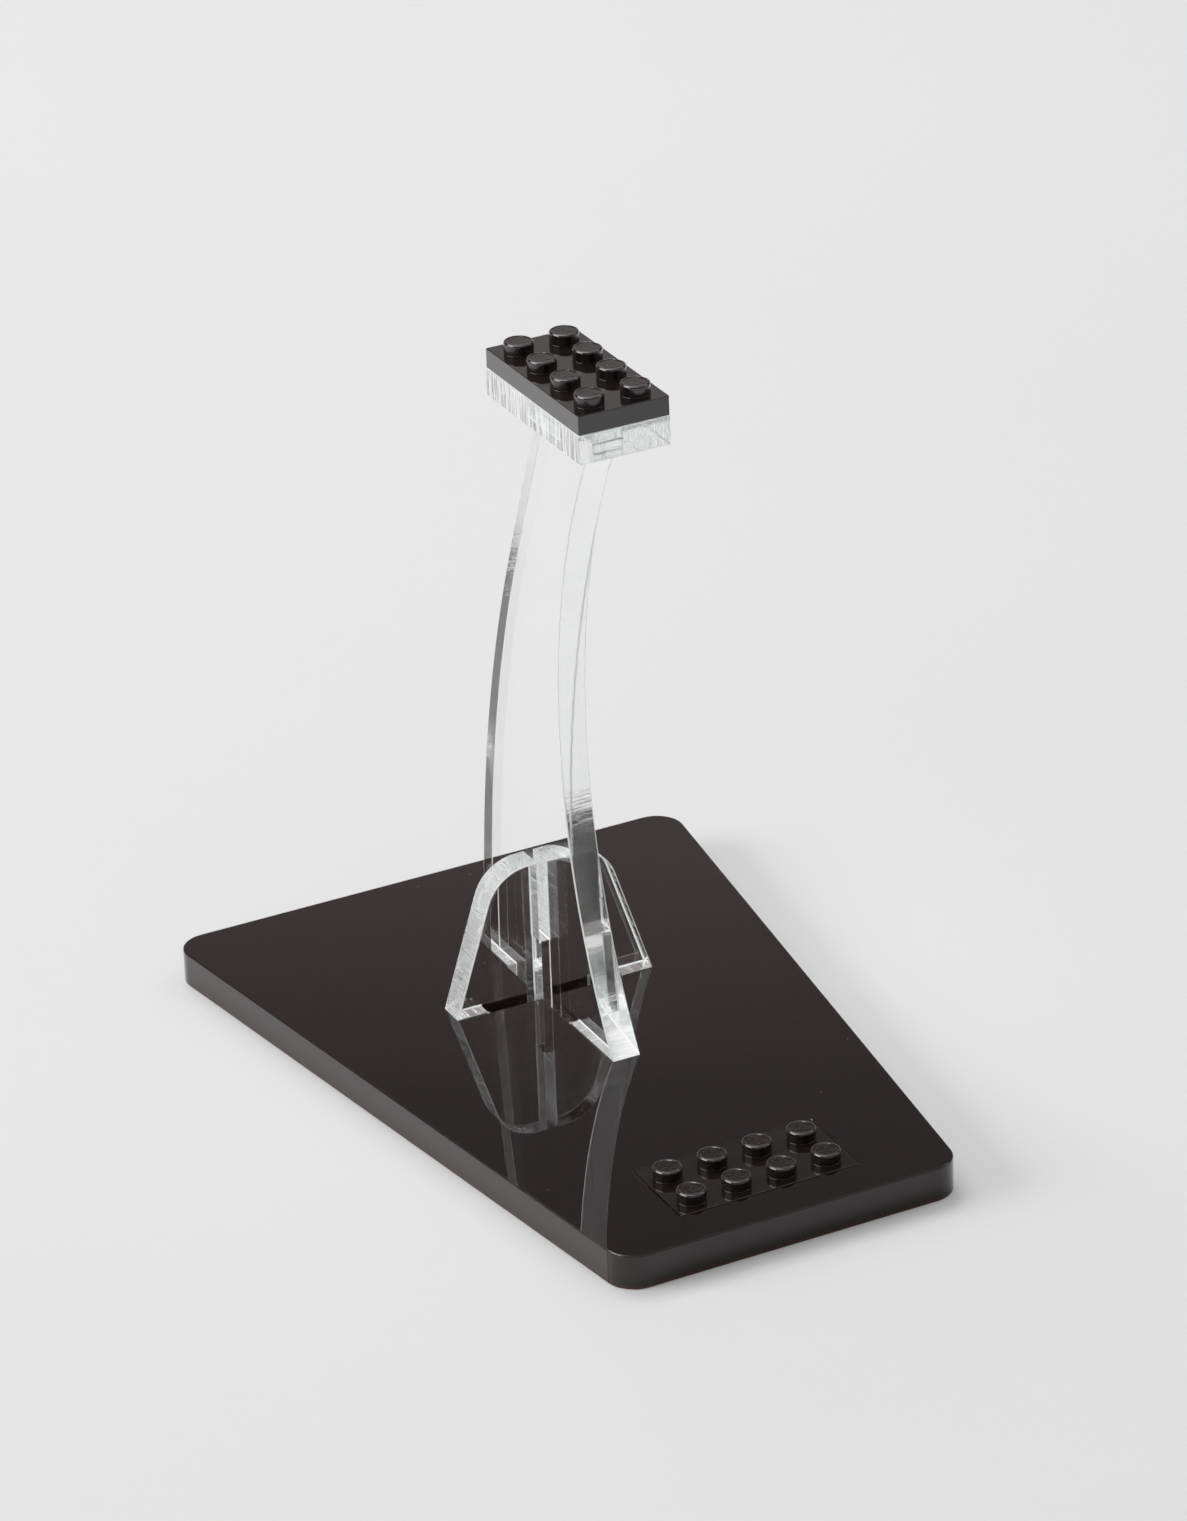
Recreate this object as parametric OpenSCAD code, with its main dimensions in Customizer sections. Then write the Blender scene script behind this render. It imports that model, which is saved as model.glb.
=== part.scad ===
// Display stand for a small model built from studded toy bricks.
// A black base carries an inlaid stud plate. A clear upright and a clear cross
// brace lock together by a half lap and stand in slots in the base. A clear
// head plate sits on the upright's tab and carries a second stud plate.
// Frame: millimetres, origin at the centre of the base's underside, +Z up,
// -Y towards the narrow front edge, X = 0 the plane of symmetry.

/* [Base] */
// Depth of the base, from its narrow front edge to its wide back edge
base_depth = 131; // [128:1:160]
// Width of the front edge, measured to its sharp corners
base_front_w = 60; // [50:1:80]
// Width of the back edge, measured to its sharp corners
base_back_w = 96; // [80:1:130]
// Thickness of the base sheet
base_t = 6; // [5:0.5:10]
// Radius of the base's four upright corners
base_corner_r = 5; // [2:0.5:8]
// Distance of the inlaid stud plate's centre in front of the base's centre
inlay_forward = 50; // [40:1:52]
// Gap all round between the inlaid stud plate and its cut-out
inlay_gap = 0.1; // [0.05:0.05:0.3]

/* [Clear sheet] */
// Thickness of the sheet that the upright, the brace and the head plate are cut from
sheet_t = 5; // [4:0.5:6]
// Gap on each side of a tab in its slot
slot_gap = 0.05; // [0.05:0.05:0.2]
// Width of the tabs that stand in the base
tab_w = 25; // [15:1:28]
// How far the tabs stop short of the base's underside
tab_short = 0.5; // [0:0.1:2]

/* [Upright] */
// Height of the upright between the base and the head plate
upright_h = 109.4; // [90:0.1:140]
// Width of the upright where it meets the head plate
neck_w = 18.6; // [14:0.1:24]
// Radius of the upright's hollow front edge
front_r = 106; // [95:1:200]
// Distance of the upright's heel behind the base's centre
heel_back = 37; // [34:0.5:45]
// Radius of the upright's rear edge, from the heel to the straight stretch
rear_r = 209; // [190:1:230]
// Width of the tab that holds the head plate
head_tab_w = 11; // [6:0.5:13]

/* [Cross brace] */
// Distance of the brace's middle plane behind the base's centre
brace_back = 18.4; // [16:0.1:20]
// Width of the brace at its foot
brace_w = 36.2; // [30:0.1:50]
// Height of the brace above the base
brace_h = 25.1; // [18:0.1:35]
// Lean of the brace's two legs from the vertical, in degrees
brace_lean = 18; // [5:1:22]
// Radius of the brace's two shoulders
shoulder_r = 8; // [2:0.5:9]
// Height above the base at which the two halves of the lap joint meet
lap_h = 10.5; // [6:0.5:16]

/* [Stud plates] */
// Distance between the centres of neighbouring studs
stud_pitch = 8; // [8]
// Studs along a plate's long side
studs_long = 4; // [4]
// Studs along a plate's short side
studs_short = 2; // [2]
// Diameter of a stud
stud_d = 4.8; // [4.7:0.05:4.9]
// Height of a stud
stud_h = 1.8; // [1.6:0.1:2]
// How much smaller a plate is than its grid of studs
plate_play = 0.2; // [0.1:0.05:0.4]
// Height of a plate without its studs
plate_t = 3.2; // [3.2:0.1:4]
// Thickness of a plate's outer walls
plate_wall = 1.5; // [1.2:0.1:1.6]
// Thickness of a plate's roof
plate_roof = 1; // [0.8:0.1:1.2]
// Outer diameter of the tubes under a plate
tube_d = 6.51; // [6.4:0.01:6.6]
// Bore of the tubes under a plate
tube_bore = 4.8; // [4.7:0.05:4.9]
// Diameter of the moulding core under each stud
core_d = 2.6; // [2:0.1:3]
// Height of the moulding core under each stud
core_h = 1.6; // [1:0.1:1.8]

/* [Hidden] */
$fn = 96;
arc_fn = 720;
black = [0.07, 0.06, 0.06];
stud_black = [0.11, 0.10, 0.10];
clear = [0.80, 0.88, 0.92, 0.35];
over = 1;
tab_h = base_t - tab_short;
slot_t = sheet_t + 2 * slot_gap;
head_z = base_t + upright_h;
stud_plate_z = head_z + sheet_t;
plate_long = studs_long * stud_pitch - plate_play;
plate_short = studs_short * stud_pitch - plate_play;
cavity_h = plate_t - plate_roof;
roof_middle = plate_t - plate_roof / 2;
toe_y = -neck_w / 2;
front_y = toe_y - sqrt(front_r * front_r - upright_h * upright_h / 4);
rear_y = heel_back - rear_r;
neck_from_rear = [neck_w / 2 - rear_y, upright_h];
rear_lean = atan2(neck_from_rear.y, neck_from_rear.x) - acos(rear_r / norm(neck_from_rear));
bend = [rear_y + rear_r * cos(rear_lean), rear_r * sin(rear_lean)];
base_outline = [
    [-base_front_w / 2, -base_depth / 2],
    [base_front_w / 2, -base_depth / 2],
    [base_back_w / 2, base_depth / 2],
    [-base_back_w / 2, base_depth / 2]
];
brace_top_w = brace_w - 2 * brace_h * tan(brace_lean);
brace_outline = [
    [-brace_w / 2, 0],
    [brace_w / 2, 0],
    [brace_top_w / 2, brace_h],
    [-brace_top_w / 2, brace_h]
];

// Direction from point a to point b
function toward(a, b) = (b - a) / norm(b - a);

// Half of the angle at corner b between its neighbours a and c
function half_angle(a, b, c) = acos(toward(b, a) * toward(b, c)) / 2;

// The two points where a round of radius r leaves the edges of corner b
function round_ends(a, b, c, r) =
    let (reach = r / tan(half_angle(a, b, c)))
    [b + reach * toward(b, a), b + reach * toward(b, c)];

// Centre of a round of radius r in corner b
function round_centre(a, b, c, r) =
    let (inward = toward(b, a) + toward(b, c))
    b + inward / norm(inward) * r / sin(half_angle(a, b, c));

// Convex outline with a true arc of radius radii[i] at each corner, or 0 for a sharp one
module rounded_outline(corners, radii) {
    n = len(corners);
    polygon([
        for (i = [0:n - 1])
        let (a = corners[(i + n - 1) % n], b = corners[i], c = corners[(i + 1) % n])
        each (radii[i] > 0 ? round_ends(a, b, c, radii[i]) : [b])
    ]);
    for (i = [0:n - 1])
    if (radii[i] > 0)
    translate(round_centre(corners[(i + n - 1) % n], corners[i], corners[(i + 1) % n], radii[i]))
    circle(radii[i]);
}

// Black base with its cut-out for the stud plate and its cross-shaped tab slot
module base_plate() {
    color(black)
    difference() {
        linear_extrude(base_t)
        rounded_outline(base_outline, [for (corner = base_outline) base_corner_r]);
        translate([0, -inlay_forward, base_t / 2])
        cube([plate_long + 2 * inlay_gap, plate_short + 2 * inlay_gap, base_t + 2 * over], center = true);
        for (turn = [0, 90])
        translate([0, brace_back, base_t / 2])
        rotate([0, 0, turn])
        cube([tab_w + 2 * slot_gap, slot_t, base_t + 2 * over], center = true);
    }
}

// Places its children at the centre of each cell of a grid of nx by ny
module at_grid(nx, ny) {
    for (i = [0:nx - 1], j = [0:ny - 1])
    translate([(i - (nx - 1) / 2) * stud_pitch, (j - (ny - 1) / 2) * stud_pitch, 0])
    children();
}

// Stud plate, long side along X, standing on z = 0, hollow underneath
module stud_plate() {
    color(stud_black)
    difference() {
        union() {
            difference() {
                translate([-plate_long / 2, -plate_short / 2, 0])
                cube([plate_long, plate_short, plate_t]);
                translate([plate_wall - plate_long / 2, plate_wall - plate_short / 2, -over])
                cube([plate_long - 2 * plate_wall, plate_short - 2 * plate_wall, cavity_h + over]);
            }
            translate([0, 0, roof_middle])
            at_grid(studs_long, studs_short)
            cylinder(d = stud_d, h = plate_t + stud_h - roof_middle);
            at_grid(studs_long - 1, studs_short - 1)
            cylinder(d = tube_d, h = roof_middle);
        }
        translate([0, 0, -over])
        at_grid(studs_long, studs_short)
        cylinder(d = core_d, h = cavity_h + core_h + over);
        translate([0, 0, -over])
        at_grid(studs_long - 1, studs_short - 1)
        cylinder(d = tube_bore, h = cavity_h + over);
    }
}

// Stud plate glued into the base, its top flush with the base's top
module base_stud_plate() {
    translate([0, -inlay_forward, base_t - plate_t])
    stud_plate();
}

// Side view of the upright without its tabs, foot on y = 0: a hollow front arc,
// and a rear arc that starts upright at the heel and runs into a straight neck
module blade_outline() {
    difference() {
        union() {
            intersection() {
                translate([rear_y, 0])
                circle(rear_r, $fn = arc_fn);
                translate([toe_y, 0])
                square([heel_back - toe_y, bend.y]);
            }
            polygon([[toe_y, bend.y], bend, [neck_w / 2, upright_h], [toe_y, upright_h]]);
        }
        translate([front_y, upright_h / 2])
        circle(front_r, $fn = arc_fn);
    }
}

// Clear upright: blade, split base tab with the lap notch, and head tab
module upright() {
    color(clear)
    translate([0, 0, base_t])
    rotate([90, 0, 90])
    linear_extrude(sheet_t, center = true)
    difference() {
        union() {
            blade_outline();
            translate([brace_back - tab_w / 2, -tab_h])
            square([tab_w, tab_h]);
            translate([-head_tab_w / 2, upright_h])
            square([head_tab_w, sheet_t]);
        }
        translate([brace_back - slot_t / 2, -tab_h - over])
        square([slot_t, tab_h + over + lap_h]);
    }
}

// Clear cross brace: two leaning legs with round shoulders, base tab and lap notch
module cross_brace() {
    color(clear)
    translate([0, brace_back, base_t])
    rotate([90, 0, 0])
    linear_extrude(sheet_t, center = true)
    difference() {
        union() {
            rounded_outline(brace_outline, [0, 0, shoulder_r, shoulder_r]);
            translate([-tab_w / 2, -tab_h])
            square([tab_w, tab_h]);
        }
        translate([-slot_t / 2, lap_h])
        square([slot_t, brace_h]);
    }
}

// Clear head plate with the slot for the upright's head tab
module head_plate() {
    color(clear)
    translate([0, 0, head_z])
    linear_extrude(sheet_t)
    difference() {
        square([plate_short, plate_long], center = true);
        square([slot_t, head_tab_w + 2 * slot_gap], center = true);
    }
}

// Stud plate glued on the head plate, long side along Y
module head_stud_plate() {
    translate([0, 0, stud_plate_z])
    rotate([0, 0, 90])
    stud_plate();
}

base_plate();
base_stud_plate();
upright();
cross_brace();
head_plate();
head_stud_plate();
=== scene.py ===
"""Looks of the display stand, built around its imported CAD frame."""

import math

import bmesh
import bpy
from mathutils import Matrix, Vector
from mathutils.geometry import tessellate_polygon
from mathutils.noise import noise as perlin

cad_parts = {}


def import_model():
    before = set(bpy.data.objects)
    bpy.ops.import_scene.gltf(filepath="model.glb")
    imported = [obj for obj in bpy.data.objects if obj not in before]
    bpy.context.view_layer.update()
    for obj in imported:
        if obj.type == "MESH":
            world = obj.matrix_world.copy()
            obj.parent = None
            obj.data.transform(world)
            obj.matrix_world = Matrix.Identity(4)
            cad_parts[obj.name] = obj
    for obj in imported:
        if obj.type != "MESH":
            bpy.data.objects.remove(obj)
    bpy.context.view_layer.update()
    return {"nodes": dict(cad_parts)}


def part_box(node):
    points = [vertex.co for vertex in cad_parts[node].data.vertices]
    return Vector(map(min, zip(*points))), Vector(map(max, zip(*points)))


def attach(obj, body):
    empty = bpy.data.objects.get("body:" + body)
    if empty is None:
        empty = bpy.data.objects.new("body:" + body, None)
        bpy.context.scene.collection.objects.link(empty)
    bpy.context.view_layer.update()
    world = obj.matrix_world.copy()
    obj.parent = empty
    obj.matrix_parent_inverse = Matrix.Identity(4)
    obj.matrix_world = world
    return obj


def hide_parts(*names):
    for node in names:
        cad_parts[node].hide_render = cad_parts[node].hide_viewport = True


MM = 0.001

# Base outline, measured to its sharp corners
BASE_FRONT_W = 60 * MM
BASE_BACK_W = 96 * MM
BASE_CORNER_R = 5 * MM
BASE_RIM = 0.22 * MM
INLAY_GAP = 0.1 * MM
BASE_STEPS = 16

# Mark that the laser leaves in the base's edge, where its cut begins and ends
MARK_W = 0.18 * MM
MARK_DEPTH = 0.12 * MM

# Clear sheet parts, with a film of air left between pieces that touch
SHEET_T = 5 * MM
SHEET_RIM = 0.18 * MM
AIR = 0.03 * MM
SLOT_GAP = 0.05 * MM
HALF_SLOT = SHEET_T / 2 + SLOT_GAP
TAB_W = 25 * MM
NECK_W = 18.6 * MM
HEAD_TAB_W = 11 * MM
FRONT_R = 106 * MM
REAR_R = 209 * MM
BRACE_LEAN = math.radians(18)
SHOULDER_R = 8 * MM
LAP_H = 10.5 * MM
# How far from the brace's middle the frosting of its notch reaches
FROST_REACH = 3 * MM
FRONT_STEPS = 120
REAR_STEPS = 90
SHOULDER_STEPS = 40

# Stud plates
PITCH = 8 * MM
STUD_R = 2.4 * MM
STUD_H = 1.8 * MM
STUD_RIM = 0.3 * MM
STUD_ROOT = 0.02 * MM
ROOT_MIDDLE = 0.3 * STUD_ROOT
PLATE_T = 3.2 * MM
PLATE_RIM = 0.1 * MM
PLATE_CORNER_R = 0.2 * MM
PLATE_WALL = 1.5 * MM
CAVITY_H = 2.2 * MM
CAVITY_CORNER_R = 0.3 * MM
TUBE_R = 3.255 * MM
TUBE_BORE_R = 2.4 * MM
CORE_R = 1.3 * MM
CORE_H = 1.6 * MM
STUD_STEPS = 64
CORE_STEPS = 32
CORNER_STEPS = 4

# Raised grain on the stud tops: greatest height, gain, the noise that stays flat, waves per metre,
# plain margin, fade-in, rings of points and the two slices of noise that it adds up
GRAIN_H = 0.05 * MM
GRAIN_GAIN = 0.045 * MM
GRAIN_FLAT = 0.02
GRAIN_WAVES = 2600
GRAIN_MARGIN = 0.075 * MM
GRAIN_FADE = 0.25 * MM
GRAIN_RINGS = 22
GRAIN_COARSE_SLICE = 3.7
GRAIN_FINE_SLICE = 9.1

# Distance from an edge's ends to the points that keep its shading flat
HOLD = 0.1 * MM

# Steps of the rounded rims, and the angle from which an edge is shaded as a sharp one
RIM_STEPS = 3
STUD_RIM_STEPS = 4
SHARP_ANGLE = math.radians(35)

IOR_ACRYLIC = 1.49
IOR_ABS = 1.53

# The photograph's camera: place, heading from +Y towards +X, fall, roll and focal length in mm
CAMERA_PLACE = Vector((-0.40010, -0.80459, 0.50488))
CAMERA_HEADING = math.radians(26.471)
CAMERA_FALL = math.radians(26.541)
CAMERA_ROLL = math.radians(2.036)
CAMERA_LENS = 148.59

# The film's answer to bright light, from light to picture, and the light that is pure white
SHOULDER = ((0.3, 0.3), (0.7, 0.54), (1.0, 0.68), (1.3, 0.81), (1.7, 0.91), (2.5, 0.98))
FILM_WHITE = 4

# Point that every softbox faces
AIM = Vector((0, 0, 0.04))

# Light of the studio surround at the sine of the height above the horizon, and at 0 below it too
SURROUND = (
    (0.0, (1.2, 1.2, 1.19)),
    (0.04, (0.62, 0.6, 0.6)),
    (0.12, (0.48, 0.47, 0.47)),
    (0.40, (0.45, 0.42, 0.42)),
    (0.461, (0.34, 0.30, 0.30)),
    (0.475, (0.26, 0.23, 0.23)),
    (0.497, (0.18, 0.165, 0.167)),
    (0.54, (0.15, 0.135, 0.135)),
    (0.64, (0.11, 0.10, 0.10)),
    (0.70, (0.8, 0.8, 0.8)),
    (1.0, (0.8, 0.8, 0.8)),
)


# ---------------------------------------------------------------- outlines

def arc(centre, radius, start, end, steps):
    """Points on an arc from one angle to another, both ends included."""
    points = []
    for i in range(steps + 1):
        angle = start + (end - start) * i / steps
        points.append((centre[0] + radius * math.cos(angle), centre[1] + radius * math.sin(angle)))
    return points


def circle(centre, radius, steps):
    """Points once round a circle."""
    return arc(centre, radius, 0, 2 * math.pi, steps)[:-1]


def rounded(corners, radii, steps):
    """Convex outline, counterclockwise, with an arc of radii[i] at corner i, or 0 for a sharp one."""
    points = []
    count = len(corners)
    for i, radius in enumerate(radii):
        corner = Vector(corners[i])
        if radius == 0:
            points.append(tuple(corner))
            continue
        to_last = (Vector(corners[i - 1]) - corner).normalized()
        to_next = (Vector(corners[(i + 1) % count]) - corner).normalized()
        half = to_last.angle(to_next) / 2
        centre = corner + (to_last + to_next).normalized() * radius / math.sin(half)
        first = corner + to_last * radius / math.tan(half) - centre
        start = math.atan2(first.y, first.x)
        points += arc(centre, radius, start, start + math.pi - 2 * half, steps)
    return points


def rectangle(x0, y0, x1, y1):
    """Corners of a rectangle, counterclockwise."""
    return [(x0, y0), (x1, y0), (x1, y1), (x0, y1)]


def hold_ends(points, margin):
    """The same outline with a point near both ends of each long edge, which keeps its shading flat."""
    result = []
    for i, a in enumerate(points):
        b = points[(i + 1) % len(points)]
        length = math.dist(a, b)
        result.append(a)
        if length > 4 * margin:
            for t in (margin / length, 1 - margin / length):
                result.append((a[0] + (b[0] - a[0]) * t, a[1] + (b[1] - a[1]) * t))
    return result


def inset(points, amount):
    """The outline moved into the material, which lies on its left."""
    result = []
    count = len(points)
    for i in range(count):
        a = Vector(points[i - 1])
        b = Vector(points[i])
        c = Vector(points[(i + 1) % count])
        before = (b - a).normalized()
        after = (c - b).normalized()
        out_before = Vector((before.y, -before.x))
        out_after = Vector((after.y, -after.x))
        mitre = (out_before + out_after) / (1 + out_before.dot(out_after))
        result.append(tuple(b - mitre * amount))
    return result


# ---------------------------------------------------------------- meshes

# Material slots of a sheet piece, after the faces' slot 0
WALL_SLOT = 1
RIM_SLOT = 2
SPECIAL_SLOT = 3

# Material slot of the studs' sides on a stud plate
STUD_SIDE_SLOT = 1


class Shell:
    """A closed mesh, made of rings of points that are joined by bands and closed by caps."""

    def __init__(self):
        self.bm = bmesh.new()
        self.uv = self.bm.loops.layers.uv.new("cut")

    def ring(self, points):
        """New vertices for points in space."""
        return [self.bm.verts.new(p) for p in points]

    def level_ring(self, points, z):
        """New vertices for points of a plan, all at one height."""
        return self.ring([(x, y, z) for x, y in points])

    def band(self, low, high, material=0, depth=(0, 0)):
        """Quads between two rings. The UV map runs in metres along the ring and across the band."""
        run = 0
        count = len(low)
        made = []
        for i in range(count):
            j = (i + 1) % count
            step = (low[j].co - low[i].co).length
            face = self.bm.faces.new((low[i], low[j], high[j], high[i]))
            face.material_index = material
            face.smooth = True
            marks = ((run, depth[0]), (run + step, depth[0]), (run + step, depth[1]), (run, depth[1]))
            for loop, mark in zip(face.loops, marks):
                loop[self.uv].uv = mark
            run += step
            made.append(face)
        return made

    def cap(self, rings, axes=(0, 1)):
        """Fills the flat area inside the first ring and outside the others."""
        verts = [v for ring in rings for v in ring]
        loops = [[Vector((v.co[axes[0]], v.co[axes[1]], 0)) for v in ring] for ring in rings]
        for triangle in tessellate_polygon(loops):
            face = self.bm.faces.new([verts[i] for i in triangle])
            face.smooth = False

    def fan(self, ring, centre):
        """Closes a small ring round a centre point."""
        hub = self.bm.verts.new(centre)
        for i, vert in enumerate(ring):
            face = self.bm.faces.new((vert, ring[(i + 1) % len(ring)], hub))
            face.smooth = True

    def finish(self, name, materials):
        """Turns the shell into an object with sharp edges where its faces meet at an angle."""
        bmesh.ops.recalc_face_normals(self.bm, faces=self.bm.faces)
        mesh = bpy.data.meshes.new(name)
        self.bm.to_mesh(mesh)
        smooth = [face.smooth for face in self.bm.faces]
        self.bm.free()
        mesh.set_sharp_from_angle(angle=SHARP_ANGLE)
        mesh.polygons.foreach_set("use_smooth", smooth)
        for material in materials:
            mesh.materials.append(material)
        piece = bpy.data.objects.new(name, mesh)
        bpy.context.scene.collection.objects.link(piece)
        return piece


def rim_profile(rim, steps):
    """Inset and height of a rounded rim, from the flat face out to the wall."""
    profile = []
    for i in range(steps + 1):
        angle = math.pi / 2 * i / steps
        profile.append((rim * (1 - math.sin(angle)), rim * (1 - math.cos(angle))))
    return profile


def cut_sheet(name, loops, place, axes, low, high, rim, materials, dent=None, special=None):
    """A piece cut from sheet: loops in its plane, the first outside, the others holes (clockwise).

    The materials are for the faces, the cut walls, the rims and the special walls. dent moves a
    point of the wall, but leaves the rounded rims as they are. special(a, b) says whether the
    wall from a to b is a special one."""
    shell = Shell()
    profile = rim_profile(rim, RIM_STEPS)
    profile.append((0, rim + HOLD))
    levels = [(i, low + h) for i, h in profile] + [(i, high - h) for i, h in reversed(profile)]
    caps = [[], []]
    for loop in loops:
        held = hold_ends(loop, rim + HOLD)
        rings = []
        for i, w in levels:
            points = inset(held, i) if i else [dent(p) if dent else p for p in held]
            rings.append(shell.ring([place(p, w) for p in points]))
        for k in range(len(rings) - 1):
            on_rim = levels[k][0] != levels[k + 1][0]
            material = RIM_SLOT if on_rim else WALL_SLOT
            made = shell.band(rings[k], rings[k + 1], material, (levels[k][1], levels[k + 1][1]))
            if special and not on_rim:
                for i, face in enumerate(made):
                    if special(held[i], held[(i + 1) % len(held)]):
                        face.material_index = SPECIAL_SLOT
        caps[0].append(rings[0])
        caps[1].append(rings[-1])
    for rings in caps:
        shell.cap(rings, axes)
    return shell.finish(name, materials)


def flat_on_z(p, w):
    """Place of a point of a sheet that lies flat."""
    return (p[0], p[1], w)


def flat_on_x(p, w):
    """Place of a point of a sheet that stands across X."""
    return (w, p[0], p[1])


# ---------------------------------------------------------------- materials

def new_material(name):
    """An empty node material and its tree."""
    material = bpy.data.materials.new(name)
    material.use_nodes = True
    tree = material.node_tree
    tree.nodes.clear()
    return material, tree


def put(tree, kind, inputs=None, **settings):
    """Adds a node. An input value that is a socket is linked, and any other is set."""
    made = tree.nodes.new("ShaderNode" + kind)
    for key, value in settings.items():
        setattr(made, key, value)
    for key, value in (inputs or {}).items():
        if isinstance(value, bpy.types.NodeSocket):
            tree.links.new(value, made.inputs[key])
        else:
            made.inputs[key].default_value = value
    return made


def object_place(tree):
    """Place on the piece, in metres."""
    return put(tree, "TexCoord").outputs["Object"]


def stretched(tree, vector, scale, turn=(0, 0, 0)):
    """The same place, scaled and turned."""
    return put(tree, "Mapping", {"Vector": vector, "Scale": scale, "Rotation": turn}).outputs["Vector"]


def clouds(tree, vector, scale, detail=3, roughness=0.5):
    """Soft noise of a number of waves per metre."""
    inputs = {"Vector": vector, "Scale": scale, "Detail": detail, "Roughness": roughness}
    return put(tree, "TexNoise", inputs).outputs["Fac"]


def between(tree, value, low, high, to_low, to_high):
    """Maps low..high onto to_low..to_high, smoothly, and stops at the ends."""
    inputs = {"Value": value, "From Min": low, "From Max": high, "To Min": to_low, "To Max": to_high}
    return put(tree, "MapRange", inputs, interpolation_type="SMOOTHSTEP").outputs["Result"]


def calc(tree, operation, a, b):
    """Result of a math node on two values."""
    return put(tree, "Math", {0: a, 1: b}, operation=operation).outputs["Value"]


def mix_colour(tree, factor, a, b):
    """Colour a where the factor is 0, and b where it is 1. The Mix node's colour sockets are 6 and 7."""
    made = put(tree, "Mix", data_type="RGBA")
    for index, value in ((0, factor), (6, a), (7, b)):
        if isinstance(value, bpy.types.NodeSocket):
            tree.links.new(value, made.inputs[index])
        else:
            made.inputs[index].default_value = value
    return made.outputs[2]


def bumped(tree, height, distance, strength=1):
    """Normal of a surface with relief: height 0 to 1 stands for the distance."""
    inputs = {"Height": height, "Distance": distance, "Strength": strength}
    return put(tree, "Bump", inputs).outputs["Normal"]


def output(tree, surface, volume=None):
    """Ends the tree with its surface and its volume."""
    end = put(tree, "OutputMaterial", {"Surface": surface})
    if volume:
        tree.links.new(volume, end.inputs["Volume"])


def dust(tree, place, cells, size, share):
    """1 in small round specks, one in some of the cells, and 0 elsewhere."""
    speck = put(tree, "TexVoronoi", {"Vector": place, "Scale": cells})
    near = between(tree, speck.outputs["Distance"], size * 0.5, size, 1, 0)
    pick = put(tree, "SeparateColor", {"Color": speck.outputs["Color"]}).outputs[0]
    chosen = calc(tree, "LESS_THAN", pick, share)
    return calc(tree, "MULTIPLY", near, chosen)


def scratches(tree, place, turn, scale):
    """1 on a few thin straight hairlines along one direction, and 0 elsewhere."""
    lines = clouds(tree, stretched(tree, place, scale, (0, 0, turn)), 1, 1)
    return between(tree, lines, 0.715, 0.74, 0, 1)


def black_face_material():
    """Polished face of black cast acrylic: a near mirror with haze, hairlines and dust."""
    material, tree = new_material("black_acrylic_face")
    place = object_place(tree)
    haze = between(tree, clouds(tree, place, 55), 0.35, 0.7, 0.001, 0.007)
    lines_a = scratches(tree, place, 0.4, (2600, 50, 50))
    lines_b = scratches(tree, place, 1.9, (2100, 42, 42))
    lines = calc(tree, "MAXIMUM", lines_a, lines_b)
    specks = dust(tree, place, 330, 0.045, 0.25)
    marked = calc(tree, "ADD", haze, calc(tree, "MULTIPLY", lines, 0.05))
    roughness = calc(tree, "ADD", marked, calc(tree, "MULTIPLY", specks, 0.5))
    dark = (0.0032, 0.0015, 0.0015, 1)
    pale = (0.0044, 0.0024, 0.0023, 1)
    tone = mix_colour(tree, clouds(tree, place, 20), dark, pale)
    colour = mix_colour(tree, specks, tone, (0.09, 0.085, 0.08, 1))
    shader = put(tree, "BsdfPrincipled", {
        "Base Color": colour,
        "Roughness": roughness,
        "IOR": IOR_ACRYLIC,
    })
    output(tree, shader.outputs[0])
    return material


def cut_lines(tree, pitch, lean, detail=4):
    """Laser striations: lines across the sheet's thickness, of the given pitch, with a lean.

    Gives the lines themselves, and the broad changes along the cut."""
    place = put(tree, "UVMap", uv_map="cut").outputs["UV"]
    parts = put(tree, "SeparateXYZ", {"Vector": place})
    run = calc(tree, "ADD", parts.outputs[0], calc(tree, "MULTIPLY", parts.outputs[1], lean))
    across = calc(tree, "MULTIPLY", parts.outputs[1], 0.06)
    wide = put(tree, "CombineXYZ", {"X": run, "Y": across}).outputs[0]
    fine = clouds(tree, wide, 1 / pitch, detail, 0.6)
    broad = clouds(tree, wide, 0.15 / pitch, 2)
    return fine, broad


def black_edge_material():
    """Laser-cut edge of black acrylic: glossy, faintly striped, and red-brown along its foot."""
    material, tree = new_material("black_acrylic_edge")
    place = object_place(tree)
    fine, broad = cut_lines(tree, pitch=0.35 * MM, lean=0.1)
    patches = between(tree, broad, 0.3, 0.7, 0.05, 0.11)
    roughness = calc(tree, "ADD", patches, calc(tree, "MULTIPLY", fine, 0.06))
    height = put(tree, "SeparateXYZ", {"Vector": place}).outputs[2]
    tint = between(tree, height, 0, 1.1 * MM, 1, 0)
    tone = mix_colour(tree, fine, (0.006, 0.003, 0.003, 1), (0.009, 0.0055, 0.005, 1))
    colour = mix_colour(tree, tint, tone, (0.03, 0.0085, 0.005, 1))
    shader = put(tree, "BsdfPrincipled", {
        "Base Color": colour,
        "Roughness": roughness,
        "IOR": IOR_ACRYLIC,
        "Specular IOR Level": 0.3,
        "Normal": bumped(tree, fine, 0.004 * MM),
    })
    output(tree, shader.outputs[0])
    return material


def clear_volume(tree):
    """The faint blue-green of thick clear acrylic."""
    return put(tree, "VolumeAbsorption", {"Color": (0.75, 0.94, 0.92, 1), "Density": 2.5}).outputs[0]


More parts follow.
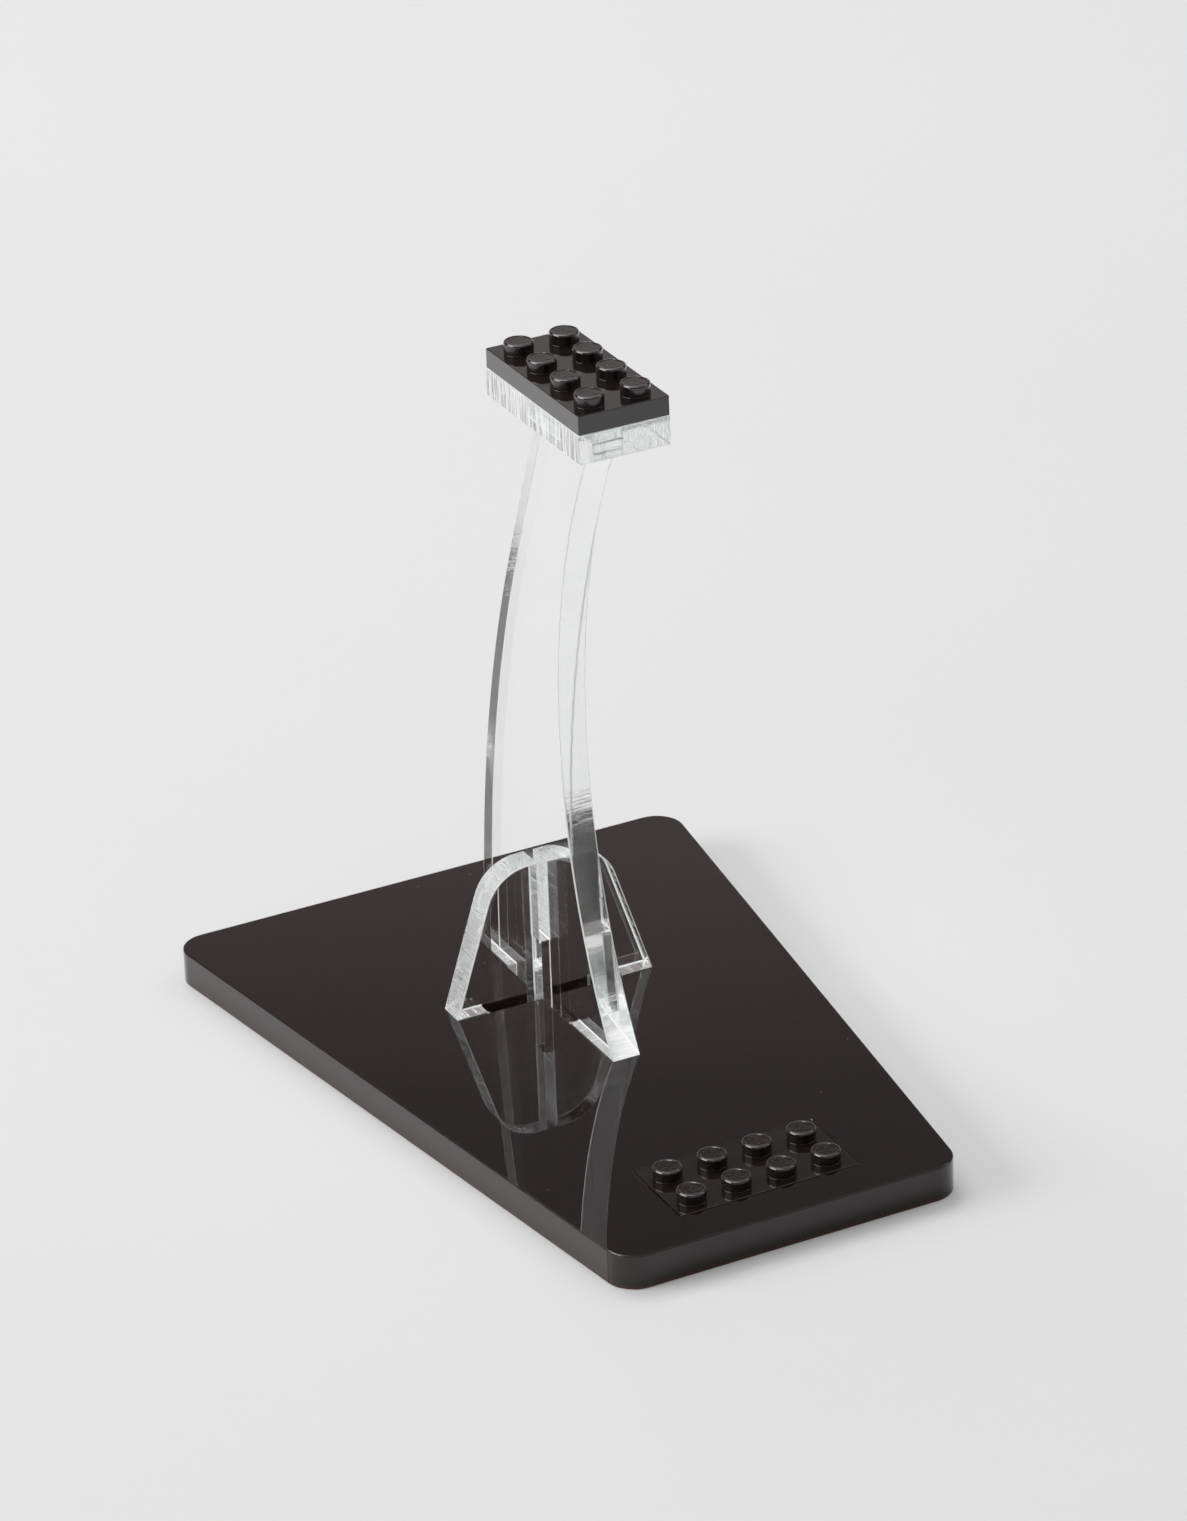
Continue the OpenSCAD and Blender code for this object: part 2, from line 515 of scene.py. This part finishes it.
def clear_face_material():
    """Polished face of clear cast acrylic, with a trace of haze."""
    material, tree = new_material("clear_acrylic_face")
    place = object_place(tree)
    roughness = between(tree, clouds(tree, place, 90), 0.4, 0.75, 0.0, 0.004)
    waves = clouds(tree, place, 12, 1)
    shader = put(tree, "BsdfPrincipled", {
        "Base Color": (1, 1, 1, 1),
        "Roughness": roughness,
        "IOR": IOR_ACRYLIC,
        "Transmission Weight": 1,
        "Normal": bumped(tree, waves, 0.0005 * MM),
    })
    output(tree, shader.outputs[0], clear_volume(tree))
    return material


def clear_edge_material(name, smooth, rough, depth, clearness=1, bloom=0):
    """Laser-cut edge of clear acrylic: striations across the thickness, in glossy and matt patches.

    smooth and rough are the patches' roughness, depth is the relief's, clearness is the share of
    light let through, and bloom is how much less of it the whitest striations let through."""
    material, tree = new_material(name)
    fine, broad = cut_lines(tree, pitch=0.4 * MM, lean=0.02, detail=2)
    patches = between(tree, broad, 0.38, 0.62, smooth, rough)
    roughness = calc(tree, "MULTIPLY", patches, between(tree, fine, 0.3, 0.7, 0.5, 1.5))
    height = calc(tree, "ADD", fine, calc(tree, "MULTIPLY", broad, 3))
    if bloom:
        clearness = between(tree, fine, 0.4, 0.6, clearness, clearness - bloom)
    shader = put(tree, "BsdfPrincipled", {
        "Base Color": mix_colour(tree, broad, (1, 0.98, 0.94, 1), (0.94, 0.98, 1, 1)),
        "Roughness": roughness,
        "IOR": IOR_ACRYLIC,
        "Transmission Weight": clearness,
        "Normal": bumped(tree, height, depth),
    })
    output(tree, shader.outputs[0], clear_volume(tree))
    return material


def stud_plastic_material(name, smooth, rough):
    """Moulded black ABS with flow marks, whose roughness goes from smooth to rough, and a fine grain."""
    material, tree = new_material(name)
    place = object_place(tree)
    grain = clouds(tree, place, 2600, 2)
    flow = clouds(tree, place, 130, 2)
    sheen = between(tree, flow, 0.3, 0.7, smooth, rough)
    roughness = calc(tree, "ADD", sheen, calc(tree, "MULTIPLY", grain, 0.02))
    specks = dust(tree, place, 420, 0.05, 0.2)
    tone = mix_colour(tree, flow, (0.0045, 0.0028, 0.0026, 1), (0.0065, 0.0045, 0.0041, 1))
    colour = mix_colour(tree, specks, tone, (0.08, 0.075, 0.07, 1))
    shader = put(tree, "BsdfPrincipled", {
        "Base Color": colour,
        "Roughness": roughness,
        "IOR": IOR_ABS,
        "Normal": bumped(tree, grain, 0.002 * MM),
    })
    output(tree, shader.outputs[0])
    return material


def floor_material():
    """Matt white studio paper."""
    material, tree = new_material("studio_paper")
    place = object_place(tree)
    fibre = clouds(tree, place, 900, 4)
    tone = mix_colour(tree, clouds(tree, place, 6), (0.80, 0.80, 0.80, 1), (0.83, 0.83, 0.83, 1))
    shader = put(tree, "BsdfPrincipled", {
        "Base Color": tone,
        "Roughness": 0.9,
        "Specular IOR Level": 0.1,
        "Normal": bumped(tree, fibre, 0.02 * MM, 0.3),
    })
    output(tree, shader.outputs[0])
    return material


# ---------------------------------------------------------------- pieces

def base_outline(low, high):
    """The base's outline, and the point at the middle of the mark where its laser cut began."""
    front = BASE_FRONT_W / 2
    back = BASE_BACK_W / 2
    corners = [(front, low.y), (back, high.y), (-back, high.y), (-front, low.y)]
    outline = rounded(corners, [BASE_CORNER_R] * 4, BASE_STEPS)
    start = Vector(outline[-1 - BASE_STEPS])
    along = Vector((corners[3][0] - corners[2][0], corners[3][1] - corners[2][1])).normalized()
    mark = [tuple(start + along * reach) for reach in (0, MARK_W / 2, MARK_W)]
    return outline[:-1 - BASE_STEPS] + mark + outline[1 - BASE_STEPS:], mark[1]


def cross_slot(centre_y):
    """Cross-shaped slot for the tabs, clockwise."""
    long_half = TAB_W / 2 + SLOT_GAP
    quarter = [(long_half, -HALF_SLOT), (HALF_SLOT, -HALF_SLOT), (HALF_SLOT, -long_half)]
    points = []
    for turn in range(4):
        for x, y in quarter:
            for _ in range(turn):
                x, y = y, -x
            points.append((x, y + centre_y))
    return points


def make_base(low, high, inlay, tabs_y, materials):
    """Black base with its cut-out for the inlaid stud plate and its slot for the tabs."""
    inlay_low, inlay_high = inlay
    hole = rectangle(
        inlay_low.x - INLAY_GAP, inlay_low.y - INLAY_GAP,
        inlay_high.x + INLAY_GAP, inlay_high.y + INLAY_GAP,
    )
    outline, mark = base_outline(low, high)
    loops = [outline, hole[::-1], cross_slot(tabs_y)]

    def dent(p):
        return (p[0] + MARK_DEPTH, p[1]) if p == mark else p

    return cut_sheet("base_sheet", loops, flat_on_z, (0, 1), low.z, high.z, BASE_RIM, materials, dent)


def upright_outline(low, high, base_top, shoulder_z, brace_y):
    """Side view of the upright in Y and Z, counterclockwise."""
    height = shoulder_z - base_top
    toe = low.y
    heel = high.y
    foot = base_top + AIR
    shoulder = shoulder_z - AIR
    rear_centre = (heel - REAR_R, base_top)
    front_centre = (toe - math.sqrt(FRONT_R ** 2 - height ** 2 / 4), base_top + height / 2)
    neck = Vector((NECK_W / 2 - rear_centre[0], height))
    rear_lean = math.atan2(neck.y, neck.x) - math.acos(REAR_R / neck.length)
    swing = math.asin((foot - base_top) / REAR_R)
    front_swing = math.asin((height / 2 - AIR) / FRONT_R)
    tab = TAB_W / 2
    lap = base_top + LAP_H + AIR
    points = [
        (brace_y - tab, foot), (brace_y - tab, low.z), (brace_y - HALF_SLOT, low.z),
        (brace_y - HALF_SLOT, lap), (brace_y + HALF_SLOT, lap),
        (brace_y + HALF_SLOT, low.z), (brace_y + tab, low.z), (brace_y + tab, foot),
    ]
    points += arc(rear_centre, REAR_R, swing, rear_lean, REAR_STEPS)
    points += [
        (NECK_W / 2, shoulder), (HEAD_TAB_W / 2, shoulder), (HEAD_TAB_W / 2, high.z - AIR),
        (-HEAD_TAB_W / 2, high.z - AIR), (-HEAD_TAB_W / 2, shoulder),
    ]
    points += arc(front_centre, FRONT_R, front_swing, -front_swing, FRONT_STEPS)
    return points


def make_upright(box, base_top, shoulder_z, brace_y, materials):
    """Clear upright. Its sole and the walls of its base tab are special walls."""
    low, high = box
    outline = upright_outline(low, high, base_top, shoulder_z, brace_y)

    def sole(a, b):
        return max(a[1], b[1]) < base_top + 2 * AIR

    return cut_sheet(
        "upright_sheet", [outline], flat_on_x, (1, 2), low.x, high.x, SHEET_RIM, materials, special=sole
    )


def brace_outline(low, high, base_top):
    """Front view of the brace in X and Z, counterclockwise as seen along +Y."""
    foot = base_top + AIR
    half = high.x
    height = high.z - base_top
    top_half = half - height * math.tan(BRACE_LEAN)
    corners = [(half, foot), (top_half, high.z), (-top_half, high.z), (-half, foot)]
    body = rounded(corners, [0, SHOULDER_R, SHOULDER_R, 0], SHOULDER_STEPS)
    lap = base_top + LAP_H - AIR
    slot = [(HALF_SLOT, high.z), (HALF_SLOT, lap), (-HALF_SLOT, lap), (-HALF_SLOT, high.z)]
    tab = [(-TAB_W / 2, foot), (-TAB_W / 2, low.z), (TAB_W / 2, low.z), (TAB_W / 2, foot)]
    middle = len(body) // 2
    return body[:middle] + slot + body[middle:] + tab


def make_brace(box, base_top, materials):
    """Clear cross brace. The walls of its notch and the strips just beside it are special walls."""
    low, high = box
    outline = brace_outline(low, high, base_top)

    def place(p, w):
        return (p[0], w, p[1])

    def notch_wall(a, b):
        in_notch = max(abs(a[0]), abs(b[0])) < FROST_REACH
        return in_notch and min(a[1], b[1]) > base_top + LAP_H - 2 * AIR

    return cut_sheet(
        "brace_sheet", [outline], place, (0, 2), low.y, high.y, SHEET_RIM, materials, special=notch_wall
    )


def make_head_block(box, materials):
    """Clear block under the upper stud plate. Its two long sides are special walls."""
    low, high = box
    half_long = HEAD_TAB_W / 2 + SLOT_GAP
    slot = rectangle(-HALF_SLOT, -half_long, HALF_SLOT, half_long)
    loops = [rectangle(low.x, low.y, high.x, high.y), slot[::-1]]

    def side(a, b):
        return abs(a[0] + b[0]) > 2 * high.x - AIR

    return cut_sheet(
        "head_block", loops, flat_on_z, (0, 1), low.z, high.z - AIR, SHEET_RIM, materials, special=side
    )


def stud_centres(box, inner=False):
    """Centres of the studs, or of the tubes between them."""
    low, high = box
    middle = (low + high) / 2
    counts = [round((high[k] - low[k]) / PITCH) - (1 if inner else 0) for k in (0, 1)]
    centres = []
    for i in range(counts[0]):
        for j in range(counts[1]):
            x = middle.x + (i - (counts[0] - 1) / 2) * PITCH
            y = middle.y + (j - (counts[1] - 1) / 2) * PITCH
            centres.append((x, y))
    return centres


def grain_height(x, y):
    """Height of the raised grain at a point of a stud's top, from two slices of noise."""
    coarse = perlin(Vector((x * GRAIN_WAVES, y * GRAIN_WAVES, GRAIN_COARSE_SLICE)))
    fine = perlin(Vector((x * GRAIN_WAVES * 2, y * GRAIN_WAVES * 2, GRAIN_FINE_SLICE)))
    return min(GRAIN_H, GRAIN_GAIN * max(0, coarse + fine / 2 - GRAIN_FLAT))


def grain_ring(centre, radius, top):
    """Points of one ring of a stud's top, sunk by the grain's height and raised by the grain."""
    inside = STUD_R - STUD_RIM - radius - GRAIN_MARGIN
    fade = min(1, max(0, inside / GRAIN_FADE))
    points = []
    for x, y in circle(centre, radius, STUD_STEPS):
        lift = grain_height(x - centre[0], y - centre[1]) - GRAIN_H
        points.append((x, y, top + fade * lift))
    return points


def add_stud(shell, centre, plate_top):
    """One stud, from its root ring on the plate's top up. Returns the root ring."""
    top = plate_top + STUD_H
    root = [
        (STUD_R + STUD_ROOT, plate_top),
        (STUD_R + ROOT_MIDDLE, plate_top + ROOT_MIDDLE),
        (STUD_R, plate_top + STUD_ROOT),
    ]
    wall = [(STUD_R, plate_top + STUD_ROOT + HOLD), (STUD_R, top - STUD_RIM - HOLD)]
    rim = [(STUD_R - i, top - h) for i, h in reversed(rim_profile(STUD_RIM, STUD_RIM_STEPS))]
    rings = []
    for radius, z in root + wall + rim:
        rings.append(shell.level_ring(circle(centre, radius, STUD_STEPS), z))
    for k in range(1, GRAIN_RINGS):
        radius = (STUD_R - STUD_RIM) * (1 - k / GRAIN_RINGS)
        rings.append(shell.ring(grain_ring(centre, radius, top)))
    wall_foot = rings[len(root)]
    for low_ring, high_ring in zip(rings, rings[1:]):
        shell.band(low_ring, high_ring, STUD_SIDE_SLOT if low_ring is wall_foot else 0)
    shell.fan(rings[-1], (centre[0], centre[1], top - GRAIN_H + grain_height(0, 0)))
    return rings[0]


def add_wall(shell, outline, low_z, high_z):
    """An upright wall along a plan outline. Returns its lower and its upper ring."""
    low_ring = shell.level_ring(outline, low_z)
    high_ring = shell.level_ring(outline, high_z)
    shell.band(low_ring, high_ring)
    return low_ring, high_ring


def add_underside(shell, box, outer):
    """The hollow underside: wall foot, cavity, tubes with bores, and moulding cores under the studs."""
    low, high = box
    floor = low.z
    ceiling = floor + CAVITY_H
    walls = rectangle(low.x + PLATE_WALL, low.y + PLATE_WALL, high.x - PLATE_WALL, high.y - PLATE_WALL)
    inner = rounded(walls, [CAVITY_CORNER_R] * 4, CORNER_STEPS)
    foot, roof = add_wall(shell, inner, floor, ceiling)
    shell.cap([outer, foot])
    holes = []
    for centre in stud_centres(box, inner=True):
        tube_foot, tube_root = add_wall(shell, circle(centre, TUBE_R, STUD_STEPS), floor, ceiling)
        bore_foot, bore_root = add_wall(shell, circle(centre, TUBE_BORE_R, STUD_STEPS), floor, ceiling)
        shell.cap([tube_foot, bore_foot])
        shell.cap([bore_root])
        holes.append(tube_root)
    for centre in stud_centres(box):
        core = circle(centre, CORE_R, CORE_STEPS)
        core_foot, core_top = add_wall(shell, core, ceiling, ceiling + CORE_H)
        shell.cap([core_top])
        holes.append(core_foot)
    shell.cap([roof] + holes)


def make_stud_plate(name, box, materials):
    """A studded plate with rounded rims, studs on top and a hollow underside."""
    low, high = box
    top = low.z + PLATE_T
    shell = Shell()
    corners = rectangle(low.x, low.y, high.x, high.y)
    outline = hold_ends(rounded(corners, [PLATE_CORNER_R] * 4, CORNER_STEPS), HOLD)
    foot = shell.level_ring(outline, low.z)
    rings = [foot, shell.level_ring(outline, top - PLATE_RIM - HOLD)]
    for i, h in reversed(rim_profile(PLATE_RIM, RIM_STEPS)):
        rings.append(shell.level_ring(inset(outline, i), top - h))
    for low_ring, high_ring in zip(rings, rings[1:]):
        shell.band(low_ring, high_ring)
    roots = [add_stud(shell, centre, top) for centre in stud_centres(box)]
    shell.cap([rings[-1]] + roots)
    add_underside(shell, box, foot)
    return shell.finish(name, materials)


def place_piece(piece, node):
    """Attaches a piece, built in its CAD node's place, to the root body and hides that node."""
    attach(piece, "root")
    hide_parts(node)


def sheet_materials():
    """Materials of each sheet piece: its faces, cut walls, rims and, on clear sheet, special walls."""
    black_edge = black_edge_material()
    face = clear_face_material()
    # Roughness of the smooth and of the rough patches, relief, clearness and bloom
    rim = clear_edge_material("clear_acrylic_rim", 0.05, 0.2, 0.01 * MM, 0.3)
    frost = clear_edge_material("clear_acrylic_frosted_cut", 0.1, 0.3, 0.04 * MM, 0.85, 0.1)
    upright_cut = clear_edge_material("clear_acrylic_upright_cut", 0.0, 0.012, 0.03 * MM)
    brace_cut = clear_edge_material("clear_acrylic_brace_cut", 0.02, 0.28, 0.07 * MM, 1, 0.04)
    head_cut = clear_edge_material("clear_acrylic_head_cut", 0.0, 0.02, 0.04 * MM)
    head_side = clear_edge_material("clear_acrylic_head_side", 0.0, 0.06, 0.04 * MM, 0.95, 0.6)
    return {
        "base_plate": [black_face_material(), black_edge, black_edge],
        "upright": [face, upright_cut, rim, frost],
        "cross_brace": [face, brace_cut, rim, frost],
        "head_plate": [face, head_cut, rim, head_side],
    }


def build_pieces(nodes):
    """Replaces every CAD node with its detailed piece."""
    boxes = {node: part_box(node) for node in nodes}
    base_low, base_high = boxes["base_plate"]
    brace_low, brace_high = boxes["cross_brace"]
    brace_y = (brace_low.y + brace_high.y) / 2
    shoulder_z = boxes["head_plate"][0].z
    looks = sheet_materials()
    abs_side = stud_plastic_material("moulded_abs_stud_side", smooth=0.2, rough=0.27)
    abs_plastic = [stud_plastic_material("moulded_abs", smooth=0.05, rough=0.09), abs_side]

    base = make_base(base_low, base_high, boxes["base_stud_plate"], brace_y, looks["base_plate"])
    place_piece(base, "base_plate")
    upright = make_upright(boxes["upright"], base_high.z, shoulder_z, brace_y, looks["upright"])
    place_piece(upright, "upright")
    brace = make_brace(boxes["cross_brace"], base_high.z, looks["cross_brace"])
    place_piece(brace, "cross_brace")
    block = make_head_block(boxes["head_plate"], looks["head_plate"])
    place_piece(block, "head_plate")
    # Clear sheet lets the light through, so it casts no shadow
    for clear_piece in (upright, brace, block):
        clear_piece.visible_shadow = False
    inlay = make_stud_plate("base_studs", boxes["base_stud_plate"], abs_plastic)
    place_piece(inlay, "base_stud_plate")
    head = make_stud_plate("head_studs", boxes["head_stud_plate"], abs_plastic)
    place_piece(head, "head_stud_plate")


# ---------------------------------------------------------------- studio

def make_camera():
    """Camera at the photograph's angle, from its place, heading, fall and roll."""
    forward = Vector((
        math.sin(CAMERA_HEADING) * math.cos(CAMERA_FALL),
        math.cos(CAMERA_HEADING) * math.cos(CAMERA_FALL),
        -math.sin(CAMERA_FALL),
    ))
    level = forward.cross(Vector((0, 0, 1))).normalized()
    down = forward.cross(level)
    right = level * math.cos(CAMERA_ROLL) + down * math.sin(CAMERA_ROLL)
    up = right.cross(forward)
    data = bpy.data.cameras.new("camera")
    data.lens = CAMERA_LENS
    data.sensor_width = 36
    data.clip_start = 0.05
    data.clip_end = 50
    camera = bpy.data.objects.new("camera", data)
    turn = Matrix((right, up, -forward)).transposed().to_4x4()
    camera.matrix_world = Matrix.Translation(CAMERA_PLACE) @ turn
    bpy.context.scene.collection.objects.link(camera)
    bpy.context.scene.camera = camera


def make_floor(z):
    """Plain pale floor at the height on which the base rests."""
    mesh = bpy.data.meshes.new("floor")
    half = 6
    corners = [(-half, -half, z), (half, -half, z), (half, half, z), (-half, half, z)]
    mesh.from_pydata(corners, [], [(0, 1, 2, 3)])
    mesh.materials.append(floor_material())
    floor = bpy.data.objects.new("floor", mesh)
    bpy.context.scene.collection.objects.link(floor)


def add_softbox(name, direction, distance, size, power):
    """Area light in a direction from the object, facing it, unseen by the camera itself."""
    data = bpy.data.lights.new(name, "AREA")
    data.shape = "RECTANGLE"
    data.size = size[0]
    data.size_y = size[1]
    data.energy = power
    lamp = bpy.data.objects.new(name, data)
    away = Vector(direction).normalized()
    lamp.location = AIM + away * distance
    lamp.rotation_euler = away.to_track_quat("Z", "Y").to_euler()
    lamp.visible_camera = False
    bpy.context.scene.collection.objects.link(lamp)
    return lamp


def make_world():
    """Soft studio surround: pale at the horizon, dim above it, lighter overhead."""
    world = bpy.data.worlds.new("studio")
    world.use_nodes = True
    tree = world.node_tree
    tree.nodes.clear()
    way = put(tree, "TexCoord").outputs["Generated"]
    height = put(tree, "SeparateXYZ", {"Vector": way}).outputs[2]
    ramp = put(tree, "ValToRGB", {"Fac": height})
    elements = ramp.color_ramp.elements
    while len(elements) < len(SURROUND):
        elements.new(0.5)
    for element, (position, colour) in zip(elements, SURROUND):
        element.position = position
        element.color = (*colour, 1)
    background = put(tree, "Background", {"Color": ramp.outputs["Color"], "Strength": 1})
    put(tree, "OutputWorld", {"Surface": background.outputs[0]})
    bpy.context.scene.world = world


def set_film():
    """A gentle shoulder in the highlights, as in the photograph, and enough light bounces for clear sheet."""
    scene = bpy.context.scene
    scene.view_settings.view_transform = "Standard"
    scene.view_settings.use_curve_mapping = True
    curves = scene.view_settings.curve_mapping
    curves.white_level = (FILM_WHITE, FILM_WHITE, FILM_WHITE)
    combined = curves.curves[3]
    combined.points[-1].location = (1, 1)
    for light, picture in SHOULDER:
        combined.points.new(light / FILM_WHITE, picture)
    curves.update()
    scene.cycles.max_bounces = 32
    scene.cycles.transmission_bounces = 32
    scene.cycles.glossy_bounces = 16
    scene.cycles.diffuse_bounces = 6
    scene.cycles.volume_bounces = 0
    scene.cycles.transparent_max_bounces = 16


def make_studio(floor_z):
    """Floor, surround and softboxes. The key lights matt surfaces only, the strip shows in gloss only."""
    make_floor(floor_z)
    make_world()
    key = add_softbox("key", (-0.90, 0.30, 0.36), distance=2.2, size=(1.4, 0.85), power=54)
    key.visible_glossy = False
    key.visible_transmission = False
    strip = add_softbox("strip", (-0.69, 0.15, 0.71), distance=2.2, size=(1.6, 0.62), power=64)
    strip.visible_diffuse = False
    strip.visible_transmission = False
    add_softbox("back_top", (-0.05, 0.53, 0.85), distance=1.8, size=(1.3, 0.75), power=21)
    add_softbox("kicker", (0.91, 0.18, 0.95), distance=1.5, size=(0.3, 0.4), power=1.8)


def main():
    """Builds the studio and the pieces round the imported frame."""
    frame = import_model()
    make_camera()
    set_film()
    make_studio(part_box("base_plate")[0].z)
    build_pieces(frame["nodes"])


main()
